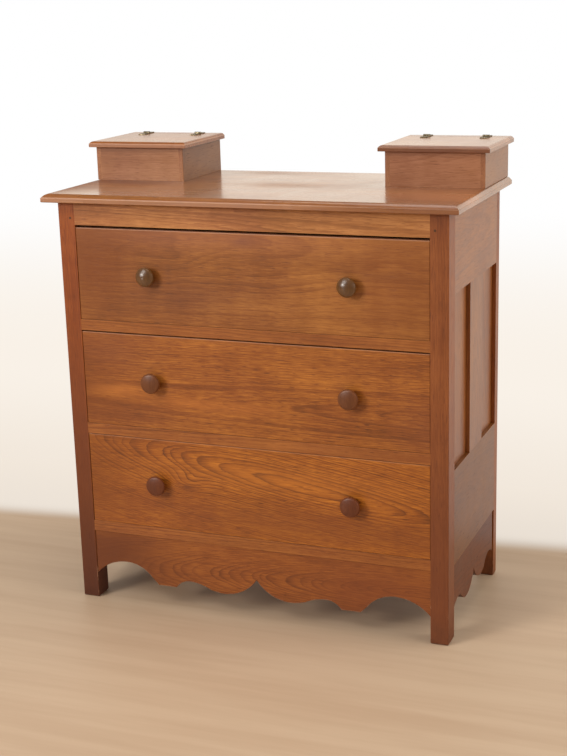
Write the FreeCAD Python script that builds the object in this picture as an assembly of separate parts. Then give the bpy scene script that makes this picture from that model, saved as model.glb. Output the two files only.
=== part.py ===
import FreeCAD, Part
import math
import os

# Chest of three drawers with two lidded boxes on its top.
# Sizes are in millimetres. X runs to the right, Y to the back and Z up.
# The origin is on the floor, in the middle of the space that the chest takes up.

# Case
case_width = 920.0
case_depth = 448.0
case_height = 970.0
post_width = 41.0
front_post_depth = 48.0
rear_post_depth = 29.0
post_corner_radius = 1.5
foot_chamfer = 3.0

# Rounding of the other outer edges
arris_radius = 0.8

# Top board
top_thickness = 19.0
top_side_overhang = 28.0
top_front_overhang = 28.0
top_moulding_width = 14.0
top_moulding_drop = 8.5
top_moulding_bulge = 1.5
top_moulding_ledge = 1.0
top_foot_radius = 2.5

# Front rails and drawer openings, from the floor up
front_rail_bottom = 175.0
blade_height = 25.5
blade_depth = 60.0
lower_opening = 220.0
middle_opening = 225.0
top_rail_height = 53.5
top_rail_thickness = 22.0
apron_thickness = 20.0
apron_setback = 2.0

# Outline of the front apron: heights from the floor
apron_cusp_z = 98.5
apron_lobe_from_middle = 84.0
apron_lobe_z = 52.5
apron_bend_from_middle = 126.0
apron_bend_z = 61.5
apron_cove_from_middle = 172.0
apron_cove_z = 72.0
apron_pad_from_middle = 208.0
apron_pad_width = 46.0
apron_pad_z = 52.5
apron_slope_width = 17.0
apron_slope_z = 69.5
apron_arch_z = 101.5
apron_post_z = 64.5

# Frame and panels of each side
side_frame_thickness = 22.0
side_top_rail_height = 180.0
side_lower_rail_height = 222.0
muntin_width = 110.0
panel_recess = 9.5
panel_thickness = 8.0
panel_entry = 6.0
groove_gap = 0.2

# Outline of each side apron: heights from the floor
side_cusp_z = 99.0
side_lobe_from_middle = 70.0
side_lobe_z = 57.0
side_arch_from_end = 36.0
side_arch_z = 86.0
side_end_z = 74.0
side_apron_rear_slit = 17.0

# Joints of the frame
tenon_thickness = 8.0
tenon_length = 20.0
tenon_shoulder = 15.0
rear_tenon_length = 16.0
blade_tenon_length = 12.0
mortise_gap = 0.1
peg_radius = 2.8
peg_length = 26.0
peg_from_side = 30.0
peg_below_top = 38.0
peg_proud = 0.4

# Back
back_board_thickness = 10.0
back_board_count = 4
back_board_gap = 0.6
back_bottom_rail_height = 50.0

# Runners, guides and kickers
runner_width = 54.0
guide_height = 22.0
kicker_width = 35.0
kicker_height = 20.0

# Drawers
drawer_front_thickness = 22.0
drawer_recess = 1.0
drawer_side_gap = 0.8
drawer_foot_gap = 0.3
drawer_front_foot_gap = 0.4
drawer_back_gap = 1.0
upper_drawer_top_gap = 6.0
middle_drawer_top_gap = 3.5
lower_drawer_top_gap = 1.6
drawer_side_thickness = 11.0
drawer_side_below_front = 5.0
drawer_back_thickness = 11.0
drawer_bottom_thickness = 8.0
drawer_bottom_lift = 9.0
drawer_bottom_entry = 6.0
dovetail_length = 16.0
dovetail_count = 4
dovetail_pin_width = 12.0
dovetail_slope = 7.0

# Knobs: domed on the upper drawer, flatter and larger on the other two
domed_knob_radius = 22.25
domed_knob_projection = 30.0
domed_rim_radius = 5.0
domed_face_radius = 28.0
flat_knob_radius = 23.75
flat_knob_projection = 27.0
flat_rim_radius = 6.0
flat_face_radius = 70.0
knob_rim_turn = 60.0
knob_neck_radius = 8.5
knob_neck_height = 8.5
knob_foot_radius = 11.5
knob_foot_height = 2.5
knob_hollow = 1.5
knob_shank_radius = 6.0
knob_from_middle = 239.5

# Boxes on the top
box_width = 229.0
box_depth = 218.0
box_height = 78.5
box_wall = 11.0
box_beyond_case = 18.5

# Lids, and the fixed strip at the rear of each box that carries its lid
lid_thickness = 13.5
lid_overhang = 13.0
lid_moulding_width = 7.5
lid_moulding_drop = 5.0
lid_moulding_bulge = 0.9
lid_moulding_ledge = 0.6
lid_foot_radius = 1.2
lid_seat_gap = 0.3
lid_joint_gap = 0.8
strip_depth = 33.0

# Hinges
hinge_length = 16.0
hinge_from_lid_end = 57.0
leaf_thickness = 2.0
lid_leaf_depth = 30.0
strip_leaf_depth = 26.0
knuckle_radius = 2.75
knuckle_gap = 0.3
pin_radius = 1.0
pin_gap = 0.05
screw_head_radius = 2.0
screw_head_depth = 1.2
screw_radius = 0.9
screw_length = 8.0
screw_slot = 0.5
screw_from_axis = 9.0
screw_from_leaf_end = 5.0

# Places worked out from the sizes
half_width = case_width / 2
post_inner = half_width - post_width
knob_reach = max(domed_knob_projection, flat_knob_projection)
front_reach = max(top_front_overhang, knob_reach - drawer_recess)
front = (front_reach - case_depth) / 2
back = front + case_depth
front_post_back = front + front_post_depth
rear_post_front = back - rear_post_depth
side_inner = half_width - side_frame_thickness
groove_inner = half_width - panel_recess - panel_thickness
groove_outer = half_width - panel_recess

lower_blade_z = front_rail_bottom
lower_drawer_z = lower_blade_z + blade_height
middle_blade_z = lower_drawer_z + lower_opening
middle_drawer_z = middle_blade_z + blade_height
upper_blade_z = middle_drawer_z + middle_opening
upper_drawer_z = upper_blade_z + blade_height
top_rail_z = case_height - top_rail_height
upper_opening = top_rail_z - upper_drawer_z

panel_bottom = front_rail_bottom + side_lower_rail_height
panel_top = case_height - side_top_rail_height

back_board_front = back - back_board_thickness
back_rail_thickness = rear_post_depth - back_board_thickness

top_z = case_height + top_thickness
box_front = back - box_depth
box_top = top_z + box_height
lid_z = box_top + lid_seat_gap
lid_top = lid_z + lid_thickness
lid_front = box_front - lid_overhang
strip_front = back - strip_depth
lid_back = strip_front - lid_joint_gap
hinge_y = strip_front - lid_joint_gap / 2
hinge_z = lid_top + knuckle_radius + knuckle_gap / 2


def vec(x, y, z):
    return FreeCAD.Vector(x, y, z)


def block(limits):
    """A box from its limits: x low and high, y low and high, z low and high."""
    x0, x1, y0, y1, z0, z1 = limits
    return Part.makeBox(x1 - x0, y1 - y0, z1 - z0, vec(x0, y0, z0))


def grown(limits, gap):
    """The same limits, moved outwards by a gap on every side."""
    x0, x1, y0, y1, z0, z1 = limits
    return (x0 - gap, x1 + gap, y0 - gap, y1 + gap, z0 - gap, z1 + gap)


def mirrored(shape):
    """The left-hand copy of a right-hand piece."""
    return shape.mirror(vec(0, 0, 0), vec(1, 0, 0))


def save(node, shapes):
    """Writes one node, as one solid or as a group of separate solids."""
    if not isinstance(shapes, list):
        shapes = [shapes]
    solids = [solid for shape in shapes for solid in shape.Solids]
    whole = solids[0] if len(solids) == 1 else Part.makeCompound(solids)
    whole.exportStep("parts/" + node + ".step")


def save_pair(name, right):
    """Writes a piece of the right side and its mirror image on the left."""
    shapes = right if isinstance(right, list) else [right]
    save(name + "_right", shapes)
    save(name + "_left", [mirrored(shape) for shape in shapes])


def line(start, end):
    return Part.makeLine(start, end)


def arc(start, middle, end):
    return Part.Arc(start, middle, end).toShape()


def solid_from(edges, direction):
    """A closed loop of edges, in any order, pushed along a direction into a solid."""
    return Part.Face(Part.Wire(Part.__sortEdges__(edges))).extrude(direction)


def bulged(start, end, bulge):
    """The middle of a shallow arc that stands off the line between two points.

    The arc stands off to the left of the way from the start to the end.
    """
    (s0, t0), (s1, t1) = start, end
    length = math.hypot(s1 - s0, t1 - t0)
    across = -(t1 - t0) / length * bulge
    up = (s1 - s0) / length * bulge
    return (s0 + s1) / 2 + across, (t0 + t1) / 2 + up


def level_middle(crest, end):
    """The middle of an arc that is level at its crest and runs to its end."""
    run = end[0] - crest[0]
    rise = end[1] - crest[1]
    radius = (run ** 2 + rise ** 2) / (2 * rise)
    half_turn = math.atan2(run / radius, 1 - rise / radius) / 2
    return crest[0] + radius * math.sin(half_turn), crest[1] + radius * (1 - math.cos(half_turn))


def eased(shape, radius, picks):
    """The shape with the edges rounded whose bounding boxes a test picks."""
    return shape.makeFillet(radius, [edge for edge in shape.Edges if picks(edge.BoundBox)])


def near(first, second):
    return abs(first - second) < arris_radius / 10


def tenon(limits):
    """A tenon and the mortise that takes it."""
    return block(limits), block(grown(limits, mortise_gap))


# Side frames: everything here is the right side, mirrored for the left

panel_y = []
panel_opening = (rear_post_front - front_post_back - muntin_width) / 2
for start in (front_post_back, rear_post_front - panel_opening):
    panel_y.append((start, start + panel_opening))
muntin_y = (panel_y[0][1], panel_y[1][0])

panels = []
panel_grooves = []
for low, high in panel_y:
    limits = (groove_inner, groove_outer, low - panel_entry, high + panel_entry,
              panel_bottom - panel_entry, panel_top + panel_entry)
    panels.append(block(limits))
    panel_grooves.append(block(grown(limits, groove_gap)))


def side_rail(z0, z1):
    """A rail between the posts of one side, with its tenons and their mortises."""
    rail = block((side_inner, half_width, front_post_back, rear_post_front, z0, z1))
    front_end = tenon((groove_inner, groove_outer, front_post_back - tenon_length, front_post_back,
                       z0 + tenon_shoulder, z1 - tenon_shoulder))
    rear_end = tenon((groove_inner, groove_outer, rear_post_front, rear_post_front + rear_tenon_length,
                      z0 + tenon_shoulder, z1 - tenon_shoulder))
    return rail.fuse([front_end[0], rear_end[0]]), front_end[1], rear_end[1]


side_top_rail, top_front_mortise, top_rear_mortise = side_rail(panel_top, case_height)
side_lower_rail, low_front_mortise, low_rear_mortise = side_rail(front_rail_bottom, panel_bottom)

muntin = block((side_inner, half_width, muntin_y[0], muntin_y[1], panel_bottom, panel_top))
for z0, z1 in ((panel_bottom - tenon_length, panel_bottom), (panel_top, panel_top + tenon_length)):
    stub, mortise = tenon((groove_inner, groove_outer, muntin_y[0] + tenon_shoulder,
                           muntin_y[1] - tenon_shoulder, z0, z1))
    muntin = muntin.fuse(stub)
    side_top_rail = side_top_rail.cut(mortise)
    side_lower_rail = side_lower_rail.cut(mortise)

for groove in panel_grooves:
    side_top_rail = side_top_rail.cut(groove)
    side_lower_rail = side_lower_rail.cut(groove)
    muntin = muntin.cut(groove)


def scallops(steps, far, depth):
    """The space under a scalloped edge, which is the same on both sides of its middle.

    The first step is the point in the middle. Every later one is a point and
    the way to it: straight, or an arc that is level at its start or its end.
    The space is centred on the middle and reaches as far as it is told to.
    """
    edges = []

    def at(s, z):
        return vec(s, -depth / 2, z)

    for side in (1, -1):
        here = steps[0]
        for there, way in steps[1:]:
            start = at(side * here[0], here[1])
            end = at(side * there[0], there[1])
            if way == "straight":
                edges.append(line(start, end))
            else:
                crest, other = (here, there) if way == "level at start" else (there, here)
                s, z = level_middle(crest, other)
                edges.append(arc(start, at(side * s, z), end))
            here = there
        edges.append(line(at(side * here[0], here[1]), at(side * far, here[1])))
        edges.append(line(at(side * far, here[1]), at(side * far, -foot_chamfer)))
    edges.append(line(at(-far, -foot_chamfer), at(far, -foot_chamfer)))
    return solid_from(edges, vec(0, depth, 0))


# Side apron, scalloped, which stops short of the rear post
side_apron_back = rear_post_front - side_apron_rear_slit
side_apron = block((half_width - apron_thickness, half_width, front_post_back, side_apron_back,
                    0, front_rail_bottom))
side_apron_half = (side_apron_back - front_post_back) / 2
side_arch = side_apron_half - side_arch_from_end
side_bend = ((side_lobe_from_middle + side_arch) / 2, (side_lobe_z + side_arch_z) / 2)
side_space = scallops([
    (0, side_cusp_z),
    ((side_lobe_from_middle, side_lobe_z), "level at end"),
    (side_bend, "level at start"),
    ((side_arch, side_arch_z), "level at end"),
    ((side_apron_half, side_end_z), "level at start"),
], case_depth, 3 * apron_thickness)
side_space.rotate(vec(0, 0, 0), vec(0, 0, 1), 90)
side_space.translate(vec(half_width, front_post_back + side_apron_half, 0))
side_apron = side_apron.cut(side_space)
side_apron_tenon, side_apron_mortise = tenon((
    groove_inner, groove_outer, front_post_back - tenon_length, front_post_back,
    side_arch_z + tenon_shoulder, front_rail_bottom - tenon_shoulder))
side_apron = side_apron.fuse(side_apron_tenon)

# Front rails, between the two front posts

front_top_rail = block((-post_inner, post_inner, front, front + top_rail_thickness,
                        top_rail_z, case_height))
tenon_y = front + (top_rail_thickness - tenon_thickness) / 2
top_rail_tenon, top_rail_mortise = tenon((
    post_inner, post_inner + tenon_length, tenon_y, tenon_y + tenon_thickness,
    top_rail_z + tenon_shoulder, case_height - tenon_shoulder))
peg = Part.makeCylinder(
    peg_radius, peg_length + peg_proud,
    vec(half_width - peg_from_side, front - peg_proud, case_height - peg_below_top), vec(0, 1, 0))
front_top_rail = front_top_rail.fuse([top_rail_tenon, mirrored(top_rail_tenon)])
front_top_rail = front_top_rail.cut([peg, mirrored(peg)])


def blade(z0):
    """A rail between two drawers, with a stub tenon at each end."""
    board = block((-post_inner, post_inner, front, front + blade_depth, z0, z0 + blade_height))
    middle = z0 + blade_height / 2
    stub, mortise = tenon((
        post_inner, post_inner + blade_tenon_length,
        front + tenon_shoulder, front_post_back - tenon_shoulder,
        middle - tenon_thickness / 2, middle + tenon_thickness / 2))
    return board.fuse([stub, mirrored(stub)]), mortise


upper_blade, upper_blade_mortise = blade(upper_blade_z)
middle_blade, middle_blade_mortise = blade(middle_blade_z)
lower_blade, lower_blade_mortise = blade(lower_blade_z)

# Front apron, scalloped, set back a little behind the rail above it
apron_front = front + apron_setback
front_apron = block((-post_inner, post_inner, apron_front, apron_front + apron_thickness,
                     0, front_rail_bottom))
apron_pad_end = apron_pad_from_middle + apron_pad_width
front_space = scallops([
    (0, apron_cusp_z),
    ((apron_lobe_from_middle, apron_lobe_z), "level at end"),
    ((apron_bend_from_middle, apron_bend_z), "level at start"),
    ((apron_cove_from_middle, apron_cove_z), "level at end"),
    ((apron_pad_from_middle, apron_pad_z), "level at start"),
    ((apron_pad_end, apron_pad_z), "straight"),
    ((apron_pad_end + apron_slope_width, apron_slope_z), "straight"),
    (((apron_pad_end + post_inner) / 2, apron_arch_z), "level at end"),
    ((post_inner, apron_post_z), "level at start"),
], case_width, 3 * apron_thickness)
front_space.translate(vec(0, apron_front, 0))
front_apron = front_apron.cut(front_space)
apron_tenon_y = apron_front + (apron_thickness - tenon_thickness) / 2
apron_tenon, apron_mortise = tenon((
    post_inner, post_inner + tenon_length, apron_tenon_y, apron_tenon_y + tenon_thickness,
    apron_arch_z, front_rail_bottom - tenon_shoulder))
front_apron = front_apron.fuse([apron_tenon, mirrored(apron_tenon)])

# Back rails and boards, between the two rear posts


def back_rail(z0, z1):
    """A rail between the rear posts, in front of the back boards."""
    rail = block((-post_inner, post_inner, rear_post_front, back_board_front, z0, z1))
    middle = rear_post_front + back_rail_thickness / 2
    stub, mortise = tenon((
        post_inner, post_inner + blade_tenon_length,
        middle - tenon_thickness / 2, middle + tenon_thickness / 2,
        z0 + tenon_shoulder, z1 - tenon_shoulder))
    return rail.fuse([stub, mirrored(stub)]), mortise


back_bottom_z = lower_drawer_z - back_bottom_rail_height
back_top_rail, back_top_mortise = back_rail(top_rail_z, case_height)
back_bottom_rail, back_bottom_mortise = back_rail(back_bottom_z, lower_drawer_z)

board_width = (2 * post_inner - (back_board_count - 1) * back_board_gap) / back_board_count
back_boards = []
for index in range(back_board_count):
    x0 = -post_inner + index * (board_width + back_board_gap)
    back_boards.append(block((x0, x0 + board_width, back_board_front, back,
                              back_bottom_z, case_height)))

# Posts


def post(y0, y1, corner_y, mortises):
    """A right-hand post from the floor to the top, with its foot eased all round."""
    shape = block((post_inner, half_width, y0, y1, 0, case_height))
    shape = eased(shape, post_corner_radius,
                  lambda box: near(box.XMin, half_width) and near(box.YMin, corner_y)
                  and near(box.YMax, corner_y))
    foot_edges = [edge for edge in shape.Edges if edge.BoundBox.ZMax < foot_chamfer]
    shape = shape.makeChamfer(foot_chamfer, foot_edges)
    return shape.cut(mortises + panel_grooves)


post_front = post(front, front_post_back, front, [
    top_front_mortise, low_front_mortise, side_apron_mortise, top_rail_mortise, apron_mortise,
    upper_blade_mortise, middle_blade_mortise, lower_blade_mortise, peg])
post_rear = post(rear_post_front, back, back, [
    top_rear_mortise, low_rear_mortise, back_top_mortise, back_bottom_mortise])

# Runners with their guides, and the kickers over the upper drawer

runner_inner = side_inner - runner_width
runner_front = front + blade_depth

runners = []
for z0 in (lower_blade_z, middle_blade_z, upper_blade_z):
    # A right-hand runner level with its rail, and the guide that stands on it
    z1 = z0 + blade_height
    runners.append(block((runner_inner, side_inner, runner_front, rear_post_front, z0, z1)))
    runners.append(block((post_inner, side_inner, runner_front, rear_post_front, z1, z1 + guide_height)))
kicker = block((post_inner - kicker_width, post_inner, front + top_rail_thickness, rear_post_front,
                top_rail_z, top_rail_z + kicker_height))

# Moulded boards: the top and the lids


def moulded_board(limits, width, drop, bulge, ledge, foot_radius):
    """A board whose front and ends fall from the flat in a rounded slope.

    A narrow ledge ends the slope above a square edge, which is rounded at its foot.
    The back of the board is plain.
    """
    x0, x1, y0, y1, z0, z1 = limits
    slope_z = z1 - drop
    foot_z = z0 + foot_radius
    foot_turn = foot_radius * math.sqrt(0.5)

    def moulding(outward, edge, place):
        """The edges of one side, from the flat down to the underside."""
        flat = edge - outward * width
        slope_end = edge - outward * ledge
        foot_end = edge - outward * foot_radius
        s, z = bulged((flat, z1), (slope_end, slope_z), outward * bulge)
        return [
            arc(place(flat, z1), place(s, z), place(slope_end, slope_z)),
            line(place(slope_end, slope_z), place(edge, slope_z)),
            line(place(edge, slope_z), place(edge, foot_z)),
            arc(place(edge, foot_z), place(foot_end + outward * foot_turn, foot_z - foot_turn),
                place(foot_end, z0)),
        ]

    def across(s, z):
        return vec(s, y0, z)

    def along(s, z):
        return vec(x0, s, z)

    ends = [line(across(x0 + width, z1), across(x1 - width, z1)),
            line(across(x0 + foot_radius, z0), across(x1 - foot_radius, z0))]
    ends += moulding(-1, x0, across) + moulding(1, x1, across)
    faces = [line(along(y0 + width, z1), along(y1, z1)), line(along(y1, z1), along(y1, z0)),
             line(along(y0 + foot_radius, z0), along(y1, z0))]
    faces += moulding(-1, y0, along)
    return solid_from(ends, vec(0, y1 - y0, 0)).common(solid_from(faces, vec(x1 - x0, 0, 0)))


top_half = half_width + top_side_overhang
top_board = moulded_board(
    (-top_half, top_half, front - top_front_overhang, back, case_height, top_z),
    top_moulding_width, top_moulding_drop, top_moulding_bulge, top_moulding_ledge, top_foot_radius)

# Hinges, lids and boxes


def screw(tip_direction, head_centre):
    """A small countersunk screw with a slot, its head flush with head_centre."""
    head = Part.makeCone(screw_head_radius, screw_radius, screw_head_depth, head_centre, tip_direction)
    shank = Part.makeCylinder(screw_radius, screw_length, head_centre, tip_direction)
    body = head.fuse(shank)
    return body, slot_cut(tip_direction, head_centre)


def slot_cut(tip_direction, head_centre):
    """The slot across a screw's head, along X."""
    slot = Part.makeBox(3 * screw_head_radius, screw_slot, 2 * screw_slot,
                        vec(-1.5 * screw_head_radius, -screw_slot / 2, -screw_slot))
    turn = FreeCAD.Rotation(vec(0, 0, 1), tip_direction)
    slot.Placement = FreeCAD.Placement(head_centre, turn)
    return slot


def barrel(x0, x1, radius):
    """A round bar along the hinge's axis."""
    return Part.makeCylinder(radius, x1 - x0, vec(x0, hinge_y, hinge_z), vec(1, 0, 0))


def leaf(x0, x1, depth, knuckles):
    """A leaf that lies on the wood, rolled round the hinge's axis at its knuckles.

    It reaches forward where its depth is negative.
    """
    def plate(low, high, near_end, far_end):
        y0, y1 = sorted((hinge_y + near_end, hinge_y + far_end))
        return block((low, high, y0, y1, lid_top, lid_top + leaf_thickness))

    clear = math.copysign(knuckle_radius + knuckle_gap, depth)
    pieces = []
    for low, high in knuckles:
        pieces.append(plate(low, high, 0, clear))
        pieces.append(barrel(low, high, knuckle_radius))
    return plate(x0, x1, clear, depth).fuse(pieces)


def leaf_screws(centre, depth):
    """The two screws of a leaf, one near the hinge's axis and one near the leaf's end."""
    toward = math.copysign(1, depth)
    return [screw(vec(0, 0, -1), vec(centre, hinge_y + y, lid_top + leaf_thickness))
            for y in (toward * screw_from_axis, depth - toward * screw_from_leaf_end)]


def hinge(centre):
    """One hinge: the leaf on the strip, the leaf on the lid, the pin and the screws."""
    x0 = centre - hinge_length / 2
    x1 = centre + hinge_length / 2
    third = hinge_length / 3
    inner0 = x0 + third
    inner1 = x1 - third
    strip_leaf = leaf(x0, x1, strip_leaf_depth,
                      ((x0, inner0 - knuckle_gap), (inner1 + knuckle_gap, x1)))
    lid_leaf = leaf(x0, x1, -lid_leaf_depth, ((inner0, inner1),))

    # The pin is tight in the strip's knuckles and runs free in the lid's
    pin = barrel(x0, x1, pin_radius)
    strip_leaf = strip_leaf.cut(pin)
    lid_leaf = lid_leaf.cut(barrel(x0, x1, pin_radius + pin_gap))

    strip_screws = leaf_screws(centre, strip_leaf_depth)
    lid_screws = leaf_screws(centre, -lid_leaf_depth)
    strip_leaf = strip_leaf.cut([body for body, slot in strip_screws])
    lid_leaf = lid_leaf.cut([body for body, slot in lid_screws])
    return strip_leaf, lid_leaf, pin, strip_screws, lid_screws


hinge_leaves_fixed = []
hinge_pins = []
hinge_screws_fixed = []


def lidded_box(name, x0):
    """One box with its rear strip, its lid and its two hinges, from the box's left side."""
    x1 = x0 + box_width
    inner0 = x0 + box_wall
    inner1 = x1 - box_wall
    sides = []
    for low, high, outer in ((x0, inner0, x0), (inner1, x1, x1)):
        side = block((low, high, box_front, back, top_z, box_top))
        sides.append(eased(side, arris_radius,
                           lambda box: near(box.XMin, outer) and near(box.XMax, outer)
                           and near(box.YMax, box_front)))
    front_board = block((inner0, inner1, box_front, box_front + box_wall, top_z, box_top))
    back_board = block((inner0, inner1, back - box_wall, back, top_z, box_top))
    lid_left = x0 - lid_overhang
    lid_right = x1 + lid_overhang
    moulding = (lid_moulding_width, lid_moulding_drop, lid_moulding_bulge,
                lid_moulding_ledge, lid_foot_radius)
    lid = moulded_board((lid_left, lid_right, lid_front, lid_back, lid_z, lid_top), *moulding)
    strip = moulded_board((lid_left, lid_right, lid_front, back, box_top, lid_top), *moulding)
    strip = strip.common(block((lid_left, lid_right, strip_front, back, box_top, lid_top)))
    lid_leaves = []
    lid_screw_bodies = []
    for centre in (lid_left + hinge_from_lid_end, lid_right - hinge_from_lid_end):
        strip_leaf, lid_leaf, pin, strip_screws, lid_screws = hinge(centre)
        hinge_leaves_fixed.append(strip_leaf)
        hinge_pins.append(pin)
        lid_leaves.append(lid_leaf)
        for body, slot in strip_screws:
            strip = strip.cut(body)
            hinge_screws_fixed.append(body.cut(slot))
        for body, slot in lid_screws:
            lid = lid.cut(body)
            lid_screw_bodies.append(body.cut(slot))
    save(name + "_front", front_board)
    save(name + "_sides", sides)
    save(name + "_back", [back_board, strip])
    save(name + "_lid", lid)
    save(name + "_lid_hinge_leaves", lid_leaves)
    save(name + "_lid_hinge_screws", lid_screw_bodies)


# Knobs


domed_knob = (domed_knob_radius, domed_knob_projection, domed_rim_radius, domed_face_radius)
flat_knob = (flat_knob_radius, flat_knob_projection, flat_rim_radius, flat_face_radius)


def knob(x, face_y, z, form):
    """A turned knob with its shank through the drawer front, its axis along Y.

    Its form is its radius, how far it stands out, and the radii of its rim and face.
    The face runs smoothly into a round rim, and the back is hollowed
    down to the neck and out again to the foot.
    """
    radius, projection, rim_radius, face_radius = form
    rim_middle = radius - rim_radius
    reach = face_radius - rim_radius
    rise = math.sqrt(reach ** 2 - rim_middle ** 2)
    rim_out = projection - face_radius + rise
    face_end = (face_radius / reach * rim_middle, projection - face_radius * (1 - rise / reach))
    face_half_turn = math.asin(rim_middle / reach) / 2
    face_middle = (face_radius * math.sin(face_half_turn),
                   projection - face_radius * (1 - math.cos(face_half_turn)))
    turn = math.radians(knob_rim_turn)
    rim_end = (rim_middle + rim_radius * math.cos(turn), rim_out - rim_radius * math.sin(turn))
    neck = (knob_neck_radius, knob_neck_height)
    foot = (knob_foot_radius, knob_foot_height)

    def at(point):
        return vec(point[0], -point[1], 0)

    centre = at((0, projection))
    inside = at((0, -drawer_front_thickness))
    shank_end = at((knob_shank_radius, -drawer_front_thickness))
    shank_start = at((knob_shank_radius, 0))
    foot_start = at((knob_foot_radius, 0))
    edges = [
        line(centre, inside),
        line(inside, shank_end),
        line(shank_end, shank_start),
        line(shank_start, foot_start),
        line(foot_start, at(foot)),
        arc(at(foot), at(bulged(foot, neck, knob_hollow / 2)), at(neck)),
        arc(at(neck), at(bulged(neck, rim_end, knob_hollow)), at(rim_end)),
        arc(at(rim_end), at((radius, rim_out)), at(face_end)),
        arc(at(face_end), at(face_middle), centre),
    ]
    shape = Part.Face(Part.Wire(edges)).revolve(vec(0, 0, 0), vec(0, 1, 0), 360)
    shape.translate(vec(x, face_y, z))
    return shape


# Drawers


def drawer(name, z0, opening, top_gap, knob_form):
    """One drawer in its opening, with dovetailed sides and two knobs."""
    outer = post_inner - drawer_side_gap
    inner = outer - drawer_side_thickness
    face = front + drawer_recess
    face_back = face + drawer_front_thickness
    end = back_board_front - drawer_back_gap
    front_z0 = z0 + drawer_front_foot_gap
    front_z1 = z0 + opening - top_gap
    side_z0 = z0 + drawer_foot_gap
    side_z1 = front_z1 - drawer_side_below_front
    bottom_z0 = side_z0 + drawer_bottom_lift
    bottom_z1 = bottom_z0 + drawer_bottom_thickness

    front_board = block((-outer, outer, face, face_back, front_z0, front_z1))
    front_board = eased(front_board, arris_radius, lambda box: near(box.YMax, face))
    side_board = block((inner, outer, face_back, end, side_z0, side_z1))

    # Tails on the side, wider at their tips, and the sockets that take them
    pitch = (side_z1 - front_z0) / dovetail_count
    tail_half = (pitch - dovetail_pin_width) / 2
    tip_half = tail_half + dovetail_length / dovetail_slope
    for index in range(dovetail_count):
        middle = front_z0 + pitch * (index + 0.5)
        corners = [(face_back, middle - tail_half), (face_back - dovetail_length, middle - tip_half),
                   (face_back - dovetail_length, middle + tip_half), (face_back, middle + tail_half)]
        loop = [vec(inner, y, z) for y, z in corners]
        tail = Part.Face(Part.makePolygon(loop + loop[:1])).extrude(vec(drawer_side_thickness, 0, 0))
        side_board = side_board.fuse(tail)
        front_board = front_board.cut([tail, mirrored(tail)])

    bottom_limits = (-inner - drawer_bottom_entry, inner + drawer_bottom_entry,
                     face_back - drawer_bottom_entry, end, bottom_z0, bottom_z1)
    bottom_board = block(bottom_limits)
    groove = block(grown(bottom_limits, groove_gap))
    side_board = side_board.cut(groove)
    front_board = front_board.cut(groove)
    back_board = block((-inner, inner, end - drawer_back_thickness, end,
                        bottom_z1, side_z1 - drawer_side_below_front))

    knobs = []
    for x in (-knob_from_middle, knob_from_middle):
        turned = knob(x, face, z0 + opening / 2, knob_form)
        front_board = front_board.cut(turned)
        knobs.append(turned)

    save(name + "_front", front_board)
    save_pair(name + "_side", side_board.removeSplitter())
    save(name + "_back", back_board)
    save(name + "_bottom", bottom_board)
    save(name + "_knobs", knobs)


os.makedirs("parts", exist_ok=True)

save_pair("post_front", post_front)
save_pair("post_rear", post_rear)
save_pair("side_top_rail", side_top_rail)
save_pair("side_lower_rail", side_lower_rail)
save_pair("side_apron", side_apron)
save_pair("side_muntin", muntin)
save_pair("side_panels", panels)
save("front_top_rail", front_top_rail)
save("drawer_blade_upper", upper_blade)
save("drawer_blade_middle", middle_blade)
save("drawer_blade_lower", lower_blade)
save("front_apron", front_apron)
save("back_top_rail", back_top_rail)
save("back_bottom_rail", back_bottom_rail)
save("back_boards", back_boards)
save_pair("drawer_runners", runners)
save("drawer_kickers", [kicker, mirrored(kicker)])
save("joint_pegs", [peg, mirrored(peg)])
save("top_board", top_board)

lidded_box("box_left", -half_width - box_beyond_case)
lidded_box("box_right", half_width + box_beyond_case - box_width)
save("hinge_leaves_fixed", hinge_leaves_fixed)
save("hinge_pins", hinge_pins)
save("hinge_screws_fixed", hinge_screws_fixed)

drawer("drawer_upper", upper_drawer_z, upper_opening, upper_drawer_top_gap, domed_knob)
drawer("drawer_middle", middle_drawer_z, middle_opening, middle_drawer_top_gap, flat_knob)
drawer("drawer_lower", lower_drawer_z, lower_opening, lower_drawer_top_gap, flat_knob)
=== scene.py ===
import bpy
from mathutils import Matrix, Vector


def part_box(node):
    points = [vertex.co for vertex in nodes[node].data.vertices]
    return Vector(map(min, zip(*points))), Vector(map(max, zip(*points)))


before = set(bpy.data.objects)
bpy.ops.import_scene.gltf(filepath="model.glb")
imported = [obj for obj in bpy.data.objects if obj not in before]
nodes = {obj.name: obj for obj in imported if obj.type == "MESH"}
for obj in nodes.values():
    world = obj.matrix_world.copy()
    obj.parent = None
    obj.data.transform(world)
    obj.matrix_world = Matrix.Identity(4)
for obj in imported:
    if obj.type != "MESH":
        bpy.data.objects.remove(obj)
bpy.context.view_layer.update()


# Colours are written as they look on a screen, 0 to 255

def colour(red, green, blue):
    def linear(c):
        c /= 255
        return c / 12.92 if c <= 0.04045 else ((c + 0.055) / 1.055) ** 2.4
    return (linear(red), linear(green), linear(blue), 1.0)


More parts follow.
